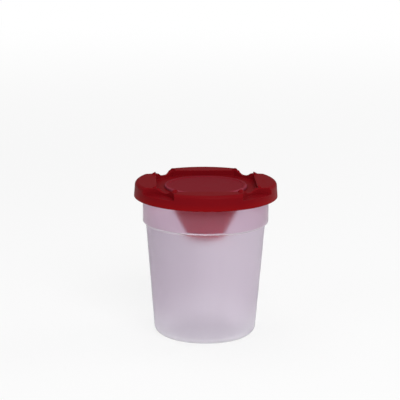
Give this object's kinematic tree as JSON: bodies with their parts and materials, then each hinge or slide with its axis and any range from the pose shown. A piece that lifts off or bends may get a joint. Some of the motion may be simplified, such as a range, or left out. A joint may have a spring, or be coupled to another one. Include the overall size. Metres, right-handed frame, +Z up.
{
  "type": "spill-proof paint cup",
  "caption": "Tapered translucent paint cup with a push-on red lid, whose funnel reaches down into the cup, lobed brush rests round the brim, and a round stopper.",
  "frame": {"origin": "centre of the cup's base, on the surface that it stands on", "axes": "+Z up along the axis of the cup, funnel and stopper; -Y towards the middle of one lobe of the brim, which is the front; +X to the right of it"},
  "size_m": [0.085, 0.085, 0.0938],
  "materials": {
    "frosted_plastic": "translucent milky moulded plastic, smooth above the shoulder and lightly frosted below",
    "red_plastic": "glossy deep red moulded plastic"
  },
  "bodies": {
    "cup": {"cup": "frosted_plastic"},
    "lid": {"lid": "red_plastic"},
    "stopper": {"stopper": "red_plastic"}
  },
  "joints": [
    {"name": "lid_lift", "type": "slide", "parent": "cup", "child": "lid", "axis": [0, 0, 1], "range_m": [0, 0.04]},
    {"name": "stopper_lift", "type": "slide", "parent": "lid", "child": "stopper", "axis": [0, 0, 1], "range_m": [0, 0.02]}
  ]
}
